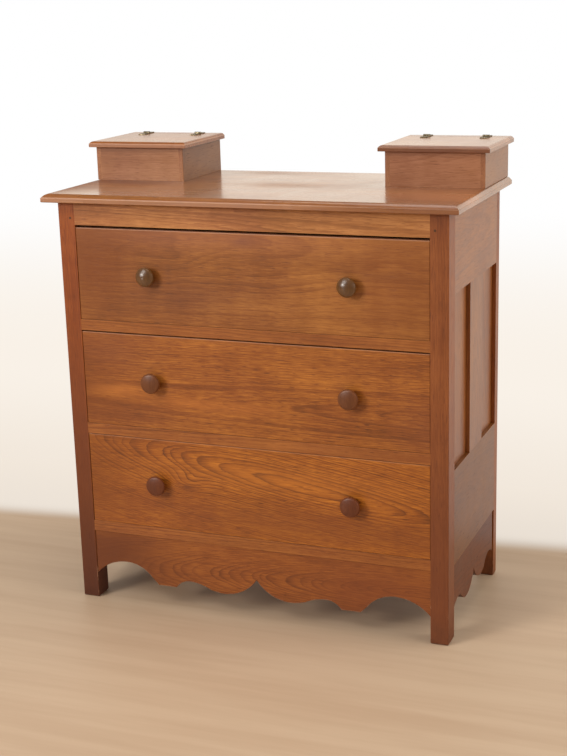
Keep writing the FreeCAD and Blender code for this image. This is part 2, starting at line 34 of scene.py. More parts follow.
class Net:
    """Builds shader nodes. An argument is either a socket or a plain value."""

    def __init__(self, tree):
        self.tree = tree

    def put(self, socket, value):
        if isinstance(value, bpy.types.NodeSocket):
            self.tree.links.new(value, socket)
        elif value is not None:
            socket.default_value = value

    def put_all(self, sockets, values):
        for socket, value in zip(sockets, values):
            self.put(socket, value)

    def node(self, kind, settings=None, **inputs):
        new = self.tree.nodes.new("ShaderNode" + kind)
        for key, value in (settings or {}).items():
            setattr(new, key, value)
        for key, value in inputs.items():
            self.put(new.inputs[key.replace("_", " ")], value)
        return new

    def math(self, operation, *values):
        new = self.node("Math", {"operation": operation})
        self.put_all(new.inputs, values)
        return new.outputs[0]

    def centred(self, value):
        """Noise from 0 to 1 as -0.5 to 0.5."""
        return self.math("SUBTRACT", value, 0.5)

    def total(self, *terms):
        """The sum of the terms; a pair is a value and its weight."""
        out = None
        for term in terms:
            if isinstance(term, tuple):
                term = self.math("MULTIPLY", *term)
            out = term if out is None else self.math("ADD", out, term)
        return out

    def vector(self, operation, *values):
        new = self.node("VectorMath", {"operation": operation})
        self.put_all(new.inputs, values)
        return new.outputs["Value" if operation == "DOT_PRODUCT" else "Vector"]

    def split(self, vector):
        new = self.node("SeparateXYZ", Vector=vector)
        return new.outputs[0], new.outputs[1], new.outputs[2]

    def join(self, x, y, z):
        new = self.node("CombineXYZ")
        self.put_all(new.inputs, (x, y, z))
        return new.outputs[0]

    def noise(self, vector, stretch, shift, detail, rough):
        """Noise from 0 to 1 with the vector multiplied by a stretch first."""
        moved = self.vector("MULTIPLY_ADD", vector, stretch, self.join(shift, shift, shift))
        new = self.node("TexNoise", Vector=moved, Scale=1.0, Detail=detail, Roughness=rough)
        return new.outputs[0]

    def noise_line(self, value, scale, shift):
        """Noise from 0 to 1 along one number."""
        at = self.math("MULTIPLY_ADD", value, scale, shift)
        new = self.node("TexNoise", {"noise_dimensions": "1D"}, W=at, Scale=1.0, Detail=1.0)
        return new.outputs[0]

    def step(self, value, start, end, low=0.0, high=1.0):
        """Goes smoothly from low to high as the value goes from start to end."""
        new = self.node("MapRange", {"interpolation_type": "SMOOTHSTEP"})
        self.put_all(new.inputs, (value, start, end, low, high))
        return new.outputs[0]

    def mix(self, factor, first, second, blend="MIX"):
        new = self.node("Mix", {"data_type": "RGBA", "blend_type": blend})
        self.put(new.inputs["Factor"], factor)
        self.put(new.inputs[6], first)
        self.put(new.inputs[7], second)
        return new.outputs[2]

    def ramp(self, factor, stops):
        new = self.node("ValToRGB", Fac=factor)
        points = new.color_ramp.elements
        while len(points) < len(stops):
            points.new(0.5)
        for point, (place, tint) in zip(points, stops):
            point.position = place
            point.color = tint
        return new.outputs[0]


def new_material(name):
    """An empty material, its net, and the coordinates of the piece that wears it."""
    material = bpy.data.materials.new(name)
    material.use_nodes = True
    material.node_tree.nodes.clear()
    net = Net(material.node_tree)
    return material, net, net.node("TexCoord").outputs


def finish(material, *names):
    """Gives CAD nodes a material in every slot."""
    for name in names:
        node = nodes[name]
        if not node.material_slots:
            node.data.materials.append(material)
        for slot in node.material_slots:
            slot.material = material


# The figure of sawn wood. Growth rings are cylinders round a pith line, which may run
# at a slant to the board or bow towards it, and that makes the pointed and looped figures.

# How fast each noise changes along, across and through the grain, its detail and roughness
NOISES = {
    "bends": ((2.3, 8.0, 8.0), 2.0, 0.5),
    "kinks": ((9.0, 48.0, 48.0), 2.0, 0.5),
    "fuzz": ((45.0, 420.0, 420.0), 1.0, 0.5),
    "wide": ((1.8, 45.0, 45.0), 3.0, 0.6),
    "narrow": ((9.0, 190.0, 190.0), 4.0, 0.7),
    "Fine": ((30.0, 560.0, 560.0), 3.0, 0.65),
    "pores": ((34.0, 420.0, 420.0), 2.0, 0.55),
    "Curl": ((21.0, 4.5, 4.5), 3.0, 0.55),
    "Tone": ((2.6, 9.0, 9.0), 3.0, 0.55),
}
KINK_DEPTH = 0.003
FUZZ_DEPTH = 0.0009
UNEVEN_RINGS = 2.2
LATE_WOOD_POWER = 3.2
FIGURE_INPUTS = ("Ring", "Pith Across", "Lean", "Pith Depth", "Slant", "Bow", "Bow Place", "Lift",
                 "Wobble", "Seed")
FIGURE_OUTPUTS = ("Rings", "Streak", "Fine", "Pores", "Curl", "Tone")


def figure_tree():
    tree = bpy.data.node_groups.new("wood_figure", "ShaderNodeTree")
    face = tree.interface
    face.new_socket("Place", in_out="INPUT", socket_type="NodeSocketVector")
    for name in FIGURE_INPUTS:
        face.new_socket(name, in_out="INPUT", socket_type="NodeSocketFloat")
    for name in FIGURE_OUTPUTS:
        face.new_socket(name, in_out="OUTPUT", socket_type="NodeSocketFloat")
    net = Net(tree)
    given = tree.nodes.new("NodeGroupInput").outputs
    place, seed = given["Place"], given["Seed"]
    noise = {key: net.noise(place, stretch, seed, detail, rough)
             for key, (stretch, detail, rough) in NOISES.items()}
    along, across, depth = net.split(place)
    run = net.math("SUBTRACT", along, given["Bow Place"])
    sunk = net.total(given["Pith Depth"], (run, given["Slant"]),
                     (net.math("MULTIPLY", run, run), given["Bow"]), depth)
    pith_across = net.math("MULTIPLY_ADD", run, given["Lean"], given["Pith Across"])
    aside = net.math("SUBTRACT", across, pith_across)
    radius = net.math("SQRT", net.total((aside, aside), (sunk, sunk)))
    radius = net.total(radius, given["Lift"], (net.centred(noise["bends"]), given["Wobble"]),
                       (net.centred(noise["kinks"]), KINK_DEPTH),
                       (net.centred(noise["fuzz"]), FUZZ_DEPTH))
    # Years of growth, some wider than others, each with a thin dark line of late wood
    years = net.math("DIVIDE", radius, given["Ring"])
    years = net.math("MULTIPLY_ADD", net.noise_line(years, 0.37, seed), UNEVEN_RINGS, years)
    within = net.math("FRACT", years)
    late = net.math("POWER", within, LATE_WOOD_POWER)
    late = net.math("MULTIPLY", late, net.step(within, 0.92, 1.0, 1.0, 0.0))
    weight = net.step(net.noise_line(years, 0.21, 7.0), 0.3, 0.7, 0.35, 1.0)
    out = tree.nodes.new("NodeGroupOutput").inputs
    net.put(out["Rings"], net.math("MULTIPLY", late, weight))
    net.put(out["Streak"], net.total((noise["wide"], 0.4), (noise["narrow"], 0.6)))
    net.put(out["Pores"], net.math("MULTIPLY", net.step(noise["pores"], 0.57, 0.74),
                                   net.step(within, 0.0, 0.75, 1.0, 0.45)))
    for name in ("Fine", "Curl", "Tone"):
        net.put(out[name], noise[name])
    return tree


FIGURE = figure_tree()

# Deep, middle and light colour of each wood, and a second, redder middle colour
WALNUT = ((62, 27, 8), (150, 84, 32), (206, 130, 60), (138, 70, 31))
PINE = ((128, 88, 50), (188, 148, 98), (214, 180, 130), (176, 128, 80))
# Front faces painted paler, standing in for the light they catch; a painted highlight on ledges and
# top edges, partly rubbed wear too; and the pale wood of scuffed edges
FRONT_LIGHT_TINT = colour(194, 146, 118)
LEDGE_HIGHLIGHT = colour(222, 176, 148)
SCUFFED = colour(186, 140, 108)

# How far apart the seeds of two glued boards lie, and the tone of plain wood in its colours
NEXT_PLANK = 3.7
PLAIN_TONE = 0.62
# How fast the noise of red blotches, worn spots and chipped edges changes
BLOTCHES = (3.1, 3.1, 3.1)
SPOTS = (38.0, 38.0, 38.0)
CHIPS = (70.0, 70.0, 70.0)
# How wide edges are rounded and rubbed
ROUNDED_EDGE = 0.0012
RUBBED_EDGE = 0.004
# Each pair from here on is where something starts to show and where it shows fully.
# An edge is measured by how well the rounded and the true normal agree, which is 1 on a flat face.
RUBBED_FROM = (0.985, 0.8)
SCUFFED_FROM = (0.96, 0.8)
FRONT_FROM = (-0.8, -0.95)
LEDGE_FROM = (0.0018, 0.0006)
SWEPT_FROM = (0.09, 0.0)
SCUFFED_BELOW = (0.15, 0.06)


def shaded(woods, gain):
    """The same colours, lighter or darker by a gain on each channel."""
    if not isinstance(gain, tuple):
        gain = (gain, gain, gain)
    return [tuple(min(255.0, c * g) for c, g in zip(tint, gain)) for tint in woods]


def board(name, axes, woods=WALNUT, gain=1.0, ring=0.007, pith=(0.0, 0.06), lean=0.0, slant=0.06,
          bow=0.0, bow_at=0.0, wobble=0.02, seed=0.0, rings=0.36, tone=0.55, streak=0.5, fine=0.4,
          pores=0.36, curl=0.16, rough=0.42, cloud=0.0, coat=0.0, coat_rough=0.16, bold=(),
          knots=(), patches=(), dull=(), front_light=0.0, ledge=None, paling=None, front_gain=None,
          wear=0.5, seams=()):
    """Makes a node of wood sawn into a board.

    The axes name the way along the grain, across the face and through, and the pith lies
    so far across and so deep behind the front, top or outer face. Bold is a place, its reach
    along and across, and how much stronger the rings show there. A knot is a place, its reach
    and how far it lifts the rings. A patch is a place, its reach, how strongly it shows
    and its colour. A dull place, with its reach and strength, has lost its polish. One share
    says how far faces to the front are painted paler, standing in for the light they catch, and
    a ledge or top edge gets a painted highlight, partly rubbed pale too: how far it lies below
    the top, and how strongly. Paling is where, along the grain, both start to set in and where
    they fully have. The front gain multiplies the colour of faces to the front.
    """
    material, net, own = new_material(name)
    place = own["Object"]
    sides = dict(zip("xyz", net.split(place)))
    height = sides["z"]
    low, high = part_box(name)
    faces = {"x": high.x if low.x + high.x > 0 else low.x, "y": low.y, "z": high.z}
    along, across, through = [sides[axis] for axis in axes]
    through = net.math("ABSOLUTE", net.math("SUBTRACT", through, faces[axes[2]]))
    plank_seed = seed
    for edge in seams:
        # Boards glued edge to edge, each with its own figure
        beyond = net.math("GREATER_THAN", across, edge)
        plank_seed = net.math("ADD", plank_seed, net.math("MULTIPLY", beyond, NEXT_PLANK))

    def mound(at_along, at_across, reach_along, reach_across):
        """Near 1 at a place on the board, and falling to 0 round it."""
        a = net.math("DIVIDE", net.math("SUBTRACT", along, at_along), reach_along)
        b = net.math("DIVIDE", net.math("SUBTRACT", across, at_across), reach_across)
        return net.math("EXPONENT", net.math("MULTIPLY", net.total((a, a), (b, b)), -1.0))

    lift = net.total(*[(mound(*knot[:4]), knot[4]) for knot in knots]) if knots else 0.0
    strength = net.total(rings, *[(mound(*spot[:4]), spot[4]) for spot in bold]) if bold else rings
    grain = net.node("Group", {"node_tree": FIGURE}, Place=net.join(along, across, through),
                     Ring=ring, Pith_Across=pith[0], Lean=lean, Pith_Depth=pith[1], Slant=slant,
                     Bow=bow, Bow_Place=bow_at, Lift=lift, Wobble=wobble, Seed=plank_seed)
    out = grain.outputs
    streaks, fibres, curls = [net.centred(out[key]) for key in ("Streak", "Fine", "Curl")]
    level = net.total((net.centred(out["Tone"]), tone), (streaks, streak), (fibres, fine),
                      (curls, curl), (net.math("MULTIPLY", out["Rings"], strength), -1.0),
                      (out["Pores"], -pores), PLAIN_TONE)
    deep, middle, light, red = [colour(*tint) for tint in shaded(woods, gain)]
    tint = net.ramp(level, ((0.0, deep), (0.52, middle), (0.95, light)))
    blotch = net.noise(place, BLOTCHES, seed + 11.0, 3.0, 0.6)
    tint = net.mix(net.step(blotch, 0.36, 0.72, 0.0, 0.55), tint,
                   net.ramp(level, ((0.0, deep), (0.55, red), (1.0, light))))
    for *place_and_reach, amount, patch_tint in patches:
        shown = net.math("MULTIPLY", mound(*place_and_reach), amount)
        tint = net.mix(shown, tint, colour(*patch_tint))
    # Rounded edges, rubbed in places
    rounded = net.node("Bevel", {"samples": 4}, Radius=ROUNDED_EDGE)
    wide_edge = net.node("Bevel", {"samples": 4}, Radius=RUBBED_EDGE)
    flat = net.node("NewGeometry").outputs["Normal"]
    sharp = net.vector("DOT_PRODUCT", wide_edge.outputs[0], flat)
    spots = net.noise(place, SPOTS, seed, 3.0, 0.6)
    rubbed = net.step(spots, 0.42, 0.72, 0.15, 1.0)
    rubbed = net.math("MULTIPLY", net.step(sharp, *RUBBED_FROM), rubbed)
    tint = net.mix(net.math("MULTIPLY", rubbed, wear), tint, light)
    pale = net.step(along, *paling, 0.2, 1.0) if paling else 1.0
    if front_light or front_gain:
        to_front = net.step(net.split(own["Normal"])[1], *FRONT_FROM)
    # Faces to the front are painted paler, standing in for the light they catch
    if front_light:
        front_lit = net.math("MULTIPLY", net.math("MULTIPLY", to_front, front_light), pale)
        tint = net.mix(front_lit, tint, FRONT_LIGHT_TINT)
    if front_gain:
        tint = net.mix(to_front, tint, (*front_gain, 1.0), "MULTIPLY")
    # A painted highlight along the ledge or the top edge of a front, partly rubbed pale too
    if ledge:
        drop, amount = ledge
        from_ledge = net.math("ABSOLUTE", net.math("SUBTRACT", height, high.z - drop))
        ledge_glint = net.step(from_ledge, *LEDGE_FROM, 0.0, amount)
        tint = net.mix(net.math("MULTIPLY", ledge_glint, pale), tint, LEDGE_HIGHLIGHT)
    # A darker, duller foot where the floor is swept
    dirt = net.step(spots, 0.3, 0.7, 0.35, 0.8)
    dirt = net.math("MULTIPLY", net.step(height, *SWEPT_FROM), dirt)
    tint = net.mix(net.math("MULTIPLY", dirt, 0.55), tint, deep)
    # Its edges are scuffed through to pale wood
    chips = net.step(net.noise(place, CHIPS, 9.0, 2.0, 0.5), 0.5, 0.6)
    scuffs = net.math("MULTIPLY", net.step(sharp, *SCUFFED_FROM), chips)
    scuffs = net.math("MULTIPLY", scuffs, net.step(height, *SCUFFED_BELOW))
    tint = net.mix(net.math("MULTIPLY", scuffs, 0.75), tint, SCUFFED)
    gloss = net.total((streaks, 0.2), (curls, 0.12), (out["Pores"], 0.2), (rubbed, 0.1),
                      (dirt, 0.25), (net.centred(blotch), cloud), rough)
    polish = coat
    for *place_and_reach, amount in dull:
        spot = mound(*place_and_reach)
        gloss = net.total(gloss, (spot, amount * 0.4))
        polish = net.math("MULTIPLY", polish, net.math("MULTIPLY_ADD", spot, -amount, 1.0))
    relief = net.total((fibres, 0.25), (streaks, 0.35), (out["Pores"], -0.9), (out["Rings"], -0.25))
    bump = net.node("Bump", Strength=0.35, Distance=0.00035, Height=relief,
                    Normal=rounded.outputs[0])
    shader = net.node("BsdfPrincipled", Base_Color=tint, Roughness=gloss, Normal=bump.outputs[0])
    shader.inputs["IOR"].default_value = 1.5
    if coat:
        net.put(shader.inputs["Coat Weight"], polish)
        shader.inputs["Coat Roughness"].default_value = coat_rough
    net.node("OutputMaterial", Surface=shader.outputs[0])
    finish(material, name)


# What the right knob adds to the seed
RIGHT_KNOB = 5.3
# Pairs again: the rim as a share of the radius, the neck in metres behind the face, and the rest
# in metres from the axis
KNOB_RIM = (0.74, 0.92)
KNOB_NECK = (0.010, 0.022)
KNOB_TIP = (0.0065, 0.0048)
LATHE_MARK = (0.001, 0.0004)
TURNING_FROM = (0.002, 0.006)


def knob_wood(name, woods, rough, coat, seed):
    """Turned wood with upright grain, faint rings of turning and the lathe's centre mark."""
    material, net, own = new_material(name)
    x, y, z = net.split(own["Object"])
    low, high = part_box("drawer_%s_knobs" % name.split("_")[0])
    reach = (high.z - low.z) / 2
    u = net.math("SUBTRACT", net.math("ABSOLUTE", x), high.x - reach)
    v = net.math("SUBTRACT", z, (low.z + high.z) / 2)
    side = net.math("MULTIPLY", net.math("GREATER_THAN", x, 0.0), RIGHT_KNOB)
    grain = net.node("Group", {"node_tree": FIGURE}, Place=net.join(v, u, y), Ring=0.0022,
                     Pith_Across=0.03, Lean=0.0, Pith_Depth=0.03, Slant=0.1, Bow=0.0, Bow_Place=0.0,
                     Lift=0.0, Wobble=0.004, Seed=net.math("ADD", side, seed))
    out = grain.outputs
    streaks = net.centred(out["Streak"])
    level = net.total((streaks, 0.6), (net.centred(out["Fine"]), 0.4), (out["Rings"], -0.14),
                      (out["Pores"], -0.25), 0.6)
    deep, middle, light = [colour(*tint) for tint in woods]
    tint = net.ramp(level, ((0.0, deep), (0.55, middle), (1.0, light)))
    radius = net.math("SQRT", net.total((u, u), (v, v)))
    # A painted highlight makes it a little paler round the rim, and painted shade makes it darker
    # towards the neck under the cap
    rim_highlight = net.step(radius, reach * KNOB_RIM[0], reach * KNOB_RIM[1], 0.0, 0.3)
    tint = net.mix(rim_highlight, tint, light)
    back = net.step(y, low.y + KNOB_NECK[0], low.y + KNOB_NECK[1])
    tint = net.mix(net.math("MULTIPLY", back, 0.6), tint, deep)
    tint = net.mix(net.math("MULTIPLY", net.step(radius, *LATHE_MARK), 0.25), tint, deep)
    turning = net.node("TexWave", {"wave_type": "BANDS"}, Vector=net.join(radius, 0.0, 0.0),
                       Scale=210.0, Distortion=1.2, Detail=2.0)
    turned = net.math("MULTIPLY", turning.outputs["Fac"], net.step(radius, *TURNING_FROM))
    relief = net.total((turned, 0.12), (out["Pores"], -0.5))
    # Round the axis the shading normals are uneven, so the faces' own normals are used there
    surface = net.node("NewGeometry").outputs
    tip = net.step(radius, *KNOB_TIP)
    error = net.vector("SUBTRACT", surface["True Normal"], surface["Normal"])
    outward = net.vector("MULTIPLY_ADD", error, net.join(tip, tip, tip), surface["Normal"])
    bump = net.node("Bump", Strength=0.25, Distance=0.0003, Height=relief, Normal=outward)
    gloss = net.total((streaks, 0.15), (out["Pores"], 0.15), (back, 0.2), rough)
    shader = net.node("BsdfPrincipled", Base_Color=tint, Roughness=gloss, Normal=bump.outputs[0])
    shader.inputs["Coat Weight"].default_value = coat
    shader.inputs["Coat Roughness"].default_value = 0.3
    net.node("OutputMaterial", Surface=shader.outputs[0])
    return material


# How fast the noise of tarnish and specks changes, how wide edges are, and where they are bright
TARNISH = (260.0, 260.0, 260.0)
SPECKS = (1400.0, 1400.0, 1400.0)
METAL_EDGE = 0.0006
BRIGHT_FROM = (0.97, 0.8)


def aged_metal(name, tones, rough, *names):
    """Aged brass: tarnish in blotches, rubbed bright at the edges."""
    material, net, own = new_material(name)
    cloud = net.noise(own["Object"], TARNISH, 2.0, 4.0, 0.6)
    speck = net.noise(own["Object"], SPECKS, 5.0, 2.0, 0.6)
    deep, middle, light = [colour(*tint) for tint in tones]
    tint = net.ramp(cloud, ((0.3, deep), (0.5, middle), (0.72, light)))
    edge = net.node("Bevel", {"samples": 4}, Radius=METAL_EDGE)
    sharp = net.vector("DOT_PRODUCT", edge.outputs[0], net.node("NewGeometry").outputs["Normal"])
    tint = net.mix(net.step(sharp, *BRIGHT_FROM, 0.0, 0.7), tint, light)
    tint = net.mix(net.step(speck, 0.58, 0.7, 0.0, 0.5), tint, deep)
    bump = net.node("Bump", Strength=0.2, Distance=0.0002, Height=speck, Normal=edge.outputs[0])
    gloss = net.total((net.centred(cloud), -0.5), rough)
    shader = net.node("BsdfPrincipled", Base_Color=tint, Roughness=gloss, Normal=bump.outputs[0])
    shader.inputs["Metallic"].default_value = 1.0
    net.node("OutputMaterial", Surface=shader.outputs[0])
    finish(material, *names)


# Case
post_shade = {
    "post_front_left": ((0.42, -0.44, 0.22, 0.1, 0.6, (112, 52, 20)),
                        (0.06, -0.44, 0.34, 0.1, 0.9, (80, 31, 3))),
    "post_front_right": ((0.1, 0.44, 0.4, 0.1, 0.65, (108, 54, 28)),),
}
posts = ("post_front_left", "post_front_right", "post_rear_left", "post_rear_right")
for k, name in enumerate(posts):
    on_left = name.endswith("left")
    board(name, "zxy", gain=(0.91, 0.775, 0.43) if on_left else (0.87, 0.81, 0.82), ring=0.005,
          pith=(-0.2 if on_left else 0.3, 0.12), slant=0.02, wobble=0.012, seed=3.1 + k, rings=0.16,
          tone=0.4, patches=post_shade.get(name, ()), wear=0.35)
side_wood = dict(coat=0.5, coat_rough=0.36, rough=0.46, streak=0.6, fine=0.6)
for k, side in enumerate(("left", "right")):
    board("side_top_rail_" + side, "yzx", gain=0.9, ring=0.008, pith=(0.9, 0.05), slant=0.1,
          wobble=0.03, seed=21.0 + k, rings=0.18, **side_wood)
    # The lower rail and apron get darker colours, painted shade for a side that darkens towards the
    # floor
    board("side_lower_rail_" + side, "yzx", gain=(0.74, 0.73, 0.63), ring=0.009, pith=(0.28, 0.045),
          slant=0.14, wobble=0.035, seed=25.0 + k, rings=0.14, **dict(side_wood, coat=0.3))
    board("side_apron_" + side, "yzx", gain=(0.64, 0.51, 0.34), ring=0.008, pith=(0.05, 0.06),
          slant=0.12, wobble=0.03, seed=28.0 + k, rings=0.2, **dict(side_wood, coat=0.1))
    board("side_muntin_" + side, "zyx", gain=0.86, pith=(0.02, 0.06), slant=0.05,
          seed=31.0 + k, rings=0.24, **side_wood)
    board("side_panels_" + side, "zyx", gain=0.9, ring=0.008, pith=(0.1, 0.05),
          wobble=0.03, seed=35.0 + k, rings=0.26, **side_wood)
rail = dict(ring=0.005, slant=0.02, wobble=0.012)
board("front_top_rail", "xzy", gain=(1.12, 1.26, 1.62), pith=(0.9, 0.1), seed=41.0, rings=0.3,
      streak=0.6, fine=0.5, **rail)
for k, name in enumerate(("upper", "middle", "lower")):
    board("drawer_blade_" + name, "xzy", gain=(0.97, 0.97, 0.93), pith=(0.5, 0.15), seed=44.0 + k,
          tone=0.5, **rail)
board("front_apron", "xzy", gain=(0.92, 0.87, 0.7), ring=0.0036, pith=(0.105, 0.048), lean=0.03,
      slant=-0.12, wobble=0.012, seed=51.0, rings=0.32, tone=0.5, streak=0.8, fine=0.7,
      bold=((-0.12, 0.09, 0.16, 0.05, 0.2), (0.1, 0.08, 0.07, 0.04, 0.2)),
      patches=((-0.38, 0.11, 0.18, 0.12, 0.9, (102, 46, 8)),
               (0.3, 0.1, 0.17, 0.1, 0.5, (126, 62, 30))))
board("top_board", "xyz", gain=(0.92, 0.97, 1.0), ring=0.008, pith=(0.05, 0.06), slant=0.03,
      wobble=0.035, seed=61.0, rings=0.3, rough=0.26, cloud=0.5, coat=0.85, front_light=0.5,
      paling=(0.36, 0.05), ledge=(0.0085, 0.45), seams=(-0.07, 0.1),
      # The first two patches are painted shade on the top just in front of the two boxes
      patches=((-0.36, -0.01, 0.15, 0.06, 0.8, (104, 56, 36)),
               (0.37, -0.01, 0.13, 0.04, 0.25, (118, 66, 42)),
               (0.45, -0.12, 0.16, 0.07, 0.6, (186, 118, 74)),
               (-0.5, -0.15, 0.06, 0.2, 0.65, (128, 72, 38)),
               (0.43, -0.235, 0.18, 0.02, 0.6, (120, 68, 42))),
      dull=((-0.5, -0.1, 0.1, 0.2, 0.9), (0.02, 0.0, 0.12, 0.045, 0.4), (-0.1, 0.2, 0.1, 0.03, 0.3),
            (-0.36, -0.06, 0.13, 0.1, 0.55)))
board("joint_pegs", "yxz", gain=0.55, ring=0.001, pith=(0.43, -0.934), wobble=0.002, seed=66.0)

# Boxes. The lid and the strip behind it are sawn from one board.
box_wood = dict(ring=0.006, rings=0.12, tone=0.45, streak=0.3, fine=0.3)
box_finish = {
    "left": dict(
        seed=0.0,
        front=dict(gain=(1.03, 1.19, 1.9)),
        sides=dict(gain=(0.85, 0.96, 1.4), front_gain=(1.48, 1.42, 1.4), coat=0.25),
        lid=dict(gain=(0.9, 0.88, 0.86)),
        back=dict(gain=(0.82, 0.74, 0.66)),
        sawn=dict(coat=0.5, front_light=0.5, ledge=(0.005, 0.35))),
    "right": dict(
        seed=1.0,
        front=dict(gain=(1.0, 1.12, 1.8)),
        sides=dict(gain=(0.86, 0.92, 1.14), front_gain=(1.27, 1.28, 1.55), coat=0.5),
        lid=dict(gain=(0.98, 1.06, 1.4)),
        back=dict(gain=(0.84, 0.84, 0.95)),
        sawn=dict(coat=0.75, ledge=(0.005, 0.2),
                  patches=((0.374, 0.008, 0.3, 0.008, 0.8, (108, 66, 50)),))),
}
for side, look in box_finish.items():
    box = "box_%s_" % side
    seed = look["seed"]
    board(box + "front", "xzy", pith=(1.1, 0.05), slant=0.12, seed=71.0 + seed,
          **look["front"], **box_wood)
    board(box + "sides", "yzx", pith=(1.06, 0.05), slant=0.1, seed=74.0 + seed, coat_rough=0.36,
          **look["sides"], **box_wood)
    sawn = dict(ring=0.006, pith=(0.1, 0.05), slant=0.08, seed=81.0 + seed, rings=0.3, rough=0.3,
                cloud=0.2, **look["sawn"])
    board(box + "lid", "xyz", **look["lid"], **sawn)
    board(box + "back", "xyz", **look["back"], **sawn)

# Drawer fronts, each from its own plank
board("drawer_upper_front", "xzy", gain=(0.96, 1.0, 0.96), ring=0.01, pith=(0.88, 0.09), slant=0.03,
      bow=0.03, bow_at=0.1, wobble=0.05, seed=91.0, rings=0.24, tone=0.75, streak=0.55, fine=0.7,
      curl=0.24, pores=0.3, ledge=(0.0006, 0.3),
      patches=((-0.005, 0.893, 0.026, 0.011, 0.6, (106, 56, 38)),
               (-0.1, 0.9, 0.34, 0.03, 0.3, (176, 112, 86)),
               (-0.4, 0.84, 0.13, 0.13, 0.8, (118, 56, 8)),
               (-0.12, 0.765, 0.16, 0.04, 0.4, (112, 60, 36)),
               (0.36, 0.8, 0.14, 0.14, 0.5, (140, 76, 26)),
               (0.33, 0.83, 0.07, 0.012, 0.4, (114, 58, 24))))
board("drawer_middle_front", "xzy", gain=(1.0, 1.0, 0.8), ring=0.0055, pith=(0.522, 0.042),
      slant=-0.032, wobble=0.016, seed=95.0, rings=0.28, tone=0.7, streak=0.7, fine=0.9,
      curl=0.22, pores=0.5, ledge=(0.0006, 0.2), bold=((0.24, 0.52, 0.16, 0.04, 0.2),),
      patches=((-0.36, 0.63, 0.1, 0.05, 0.45, (124, 66, 40)),
               (-0.43, 0.52, 0.1, 0.14, 0.6, (118, 56, 4)),
               (0.42, 0.5, 0.09, 0.08, 0.4, (128, 68, 42)),
               (-0.33, 0.532, 0.07, 0.016, 0.5, (198, 120, 50)),
               (-0.15, 0.514, 0.09, 0.012, 0.45, (192, 114, 46)),
               (0.0, 0.51, 0.09, 0.012, 0.35, (186, 110, 46)),
               (-0.3, 0.47, 0.16, 0.025, 0.35, (118, 60, 28))))
board("drawer_lower_front", "xzy", gain=(1.04, 1.02, 0.68), ring=0.0048, pith=(0.337, 0.028),
      lean=-0.15, slant=0.0, bow=0.2, bow_at=0.139, wobble=0.01, seed=99.0, rings=0.34,
      streak=0.85, fine=0.9, pores=0.5, ledge=(0.0006, 0.15),
      knots=((-0.165, 0.318, 0.05, 0.028, -0.018),),
      bold=((0.12, 0.35, 0.36, 0.06, 0.85), (-0.32, 0.375, 0.1, 0.04, 0.15)),
      patches=((-0.165, 0.309, 0.02, 0.006, 0.7, (96, 46, 22)),
               (0.1, 0.35, 0.3, 0.03, 0.4, (192, 114, 40)),
               (0.1, 0.245, 0.6, 0.04, 0.5, (120, 60, 24)),
               (-0.42, 0.31, 0.1, 0.14, 0.6, (118, 56, 0))))

# Knobs: the upper ones are olive and glossy, the others red brown and satin
knob_looks = {
    "upper": (((38, 20, 2), (90, 53, 8), (124, 80, 26)), dict(rough=0.34, coat=1.0, seed=5.0)),
    "middle": (((52, 22, 8), (102, 54, 22), (136, 80, 42)), dict(rough=0.4, coat=0.0, seed=6.0)),
    "lower": (((50, 18, 6), (96, 44, 16), (128, 68, 34)), dict(rough=0.4, coat=0.0, seed=7.0)),
}
for name, (tones, surface) in knob_looks.items():
    finish(knob_wood(name + "_knob", tones, **surface), "drawer_%s_knobs" % name)

# Plain softwood inside the drawers
inside = dict(woods=PINE, wobble=0.03, rings=0.32, tone=0.4, streak=0.4, pores=0.12, rough=0.62,
              wear=0.35)
for k, name in enumerate(("upper", "middle", "lower")):
    drawer = "drawer_%s_" % name
    upright = dict(pith=(0.3 + 0.2 * k, 0.04), **inside)
    board(drawer + "side_left", "yzx", slant=0.1, seed=118.0 + k, **upright)
    board(drawer + "side_right", "yzx", slant=0.1, seed=111.0 + k, **upright)
    board(drawer + "back", "xzy", slant=0.08, seed=121.0 + k, **upright)
    board(drawer + "bottom", "xyz", pith=(0.05, 0.05), slant=0.05, seed=131.0 + k,
          seams=(-0.02,), **inside)

# Rougher softwood inside the case and behind
rough_pine = dict(woods=PINE, ring=0.008, wobble=0.03, rings=0.34, tone=0.5, streak=0.4, pores=0.15,
                  rough=0.68, wear=0.3)
BACK_GAIN = (0.8, 0.76, 0.7)
board("back_boards", "zxy", gain=BACK_GAIN, pith=(0.1, 0.05), slant=0.03, seed=141.0,
      seams=(-0.2097, 0.0, 0.2097), **rough_pine)
for k, name in enumerate(("back_top_rail", "back_bottom_rail")):
    board(name, "xzy", gain=BACK_GAIN, pith=(0.5, 0.05), slant=0.05, seed=151.0 + k, **rough_pine)
for k, name in enumerate(("drawer_runners_left", "drawer_runners_right", "drawer_kickers")):
    board(name, "yxz", gain=(0.86, 0.82, 0.76), pith=(0.4, 0.1), slant=0.03, seed=155.0 + k,
          **rough_pine)

# Hinges and screws
aged_metal("hinge_brass", ((80, 70, 52), (130, 118, 94), (170, 158, 130)), 0.45,
           "hinge_leaves_fixed", "hinge_pins", "box_left_lid_hinge_leaves",
           "box_right_lid_hinge_leaves")
aged_metal("screw_brass", ((60, 50, 34), (108, 92, 64), (152, 134, 96)), 0.5,
           "hinge_screws_fixed", "box_left_lid_hinge_screws", "box_right_lid_hinge_screws")

# Stage: a pale floor that turns white behind the chest, as if it met a wall there, and far away

WHITE = (1.0, 1.0, 1.0, 1.0)
WARM = (1.0, 0.95, 0.87, 1.0)
WALL_WARM = (1.0, 0.9, 0.78, 1.0)
WALL_FLOOR = (0.84, 0.82, 0.80, 1.0)
# Two tones of the floor's boards, and two of the pale wall that it turns into
OAK_TONES = (colour(192, 164, 136), colour(202, 176, 148))
WALL_TONES = (colour(240, 229, 216), colour(249, 241, 231))
